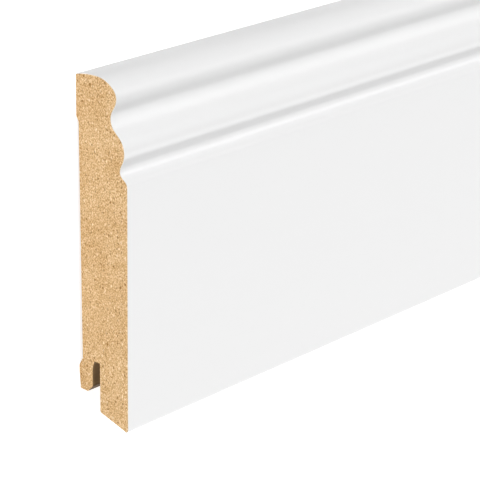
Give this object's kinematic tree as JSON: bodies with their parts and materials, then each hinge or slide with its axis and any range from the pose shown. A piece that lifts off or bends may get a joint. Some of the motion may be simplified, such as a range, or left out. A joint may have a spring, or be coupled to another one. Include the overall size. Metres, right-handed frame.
{
  "type": "skirting board length",
  "caption": "Straight length of skirting board with a moulded head and a clip slot in its foot, fibreboard under a white foil.",
  "frame": {"origin": "centre of the board's footprint on the ground, midway between its ends and between its crown and its toe, in the wall plane of its back", "axes": "+X along the length, +Y from the toe towards the moulded head, +Z from the wall plane out to the front face, which looks up"},
  "size_m": [2.4, 0.096, 0.019],
  "materials": {
    "mdf": "raw medium density fibreboard, sawn ends and milled back",
    "foil": "satin white decorative foil"
  },
  "bodies": {
    "root": {"mdf_core": "mdf", "white_foil": "foil"}
  },
  "joints": []
}
